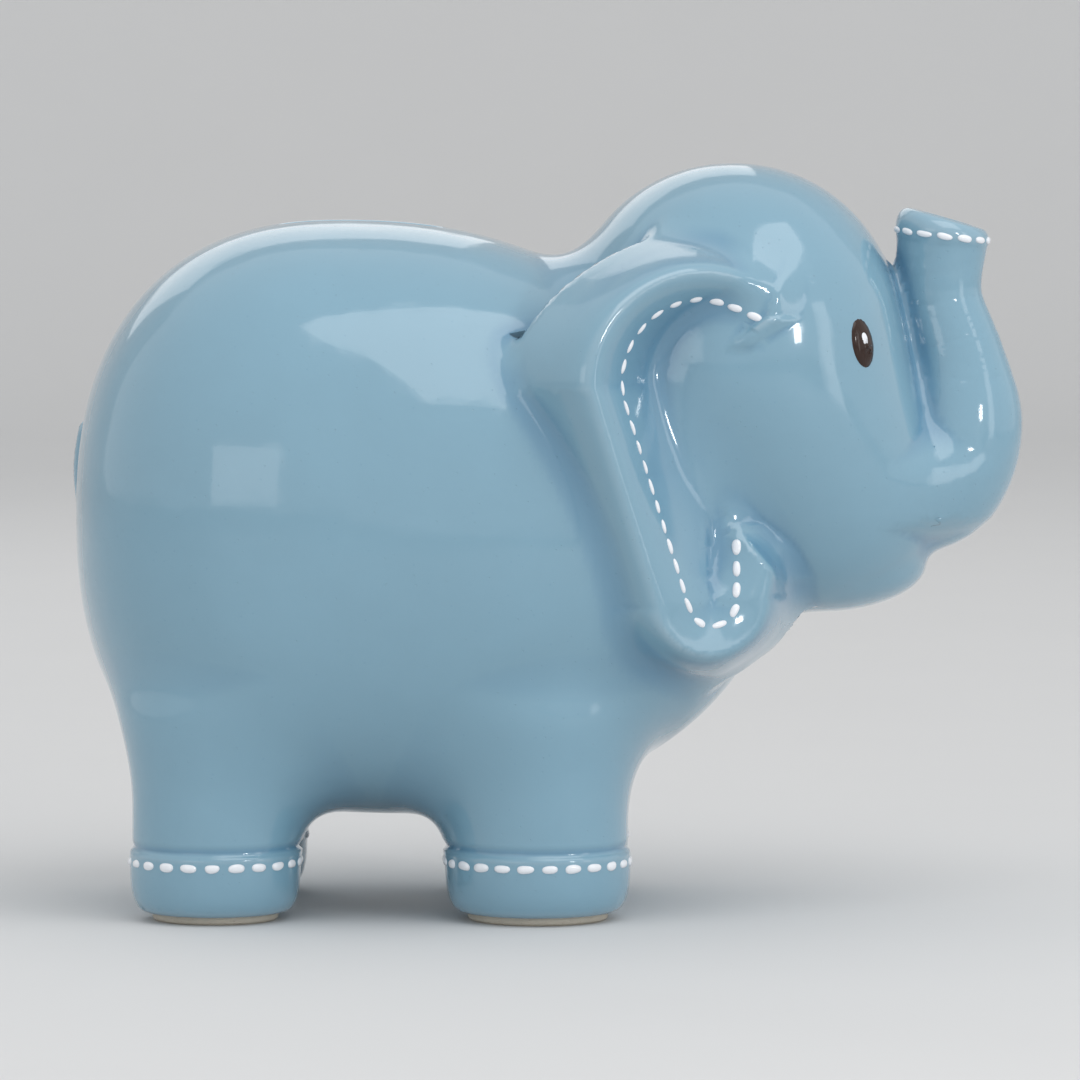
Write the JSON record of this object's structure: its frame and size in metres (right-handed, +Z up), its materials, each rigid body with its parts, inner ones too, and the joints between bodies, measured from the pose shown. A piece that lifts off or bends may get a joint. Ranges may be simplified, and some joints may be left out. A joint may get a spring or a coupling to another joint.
{
  "type": "elephant coin bank",
  "caption": "Hollow glazed ceramic coin bank shaped as a standing elephant with a raised trunk, raised white stitches and a rubber belly stopper.",
  "frame": {"origin": "on the floor below the middle of the model's bounding box", "axes": "+X towards the elephant's face and trunk, +Y towards its left side, +Z up"},
  "size_m": [0.2612, 0.154, 0.2036],
  "materials": {
    "blue_glaze": "gloss",
    "white_enamel": "gloss",
    "eye_enamel": "gloss",
    "bare_clay": "matte",
    "stopper_rubber": "matte"
  },
  "bodies": {
    "bank": {"body_shell": "blue_glaze", "trunk": "blue_glaze", "ear_right": "blue_glaze", "ear_left": "blue_glaze", "tail": "blue_glaze", "foot_rim_front_right": "bare_clay", "foot_rim_front_left": "bare_clay", "foot_rim_rear_right": "bare_clay", "foot_rim_rear_left": "bare_clay", "stitches_foot_front_right": "white_enamel", "stitches_foot_front_left": "white_enamel", "stitches_foot_rear_right": "white_enamel", "stitches_foot_rear_left": "white_enamel", "stitches_ear_right": "white_enamel", "stitches_ear_left": "white_enamel", "stitches_trunk": "white_enamel", "eye_right": "eye_enamel", "eye_left": "eye_enamel", "eye_glint_right": "white_enamel", "eye_glint_left": "white_enamel"},
    "stopper": {"stopper": "stopper_rubber"}
  },
  "joints": [
    {"name": "stopper_pull", "type": "slide", "parent": "bank", "child": "stopper", "axis": [0, 0, -1], "range_m": [0, 0.022]}
  ]
}
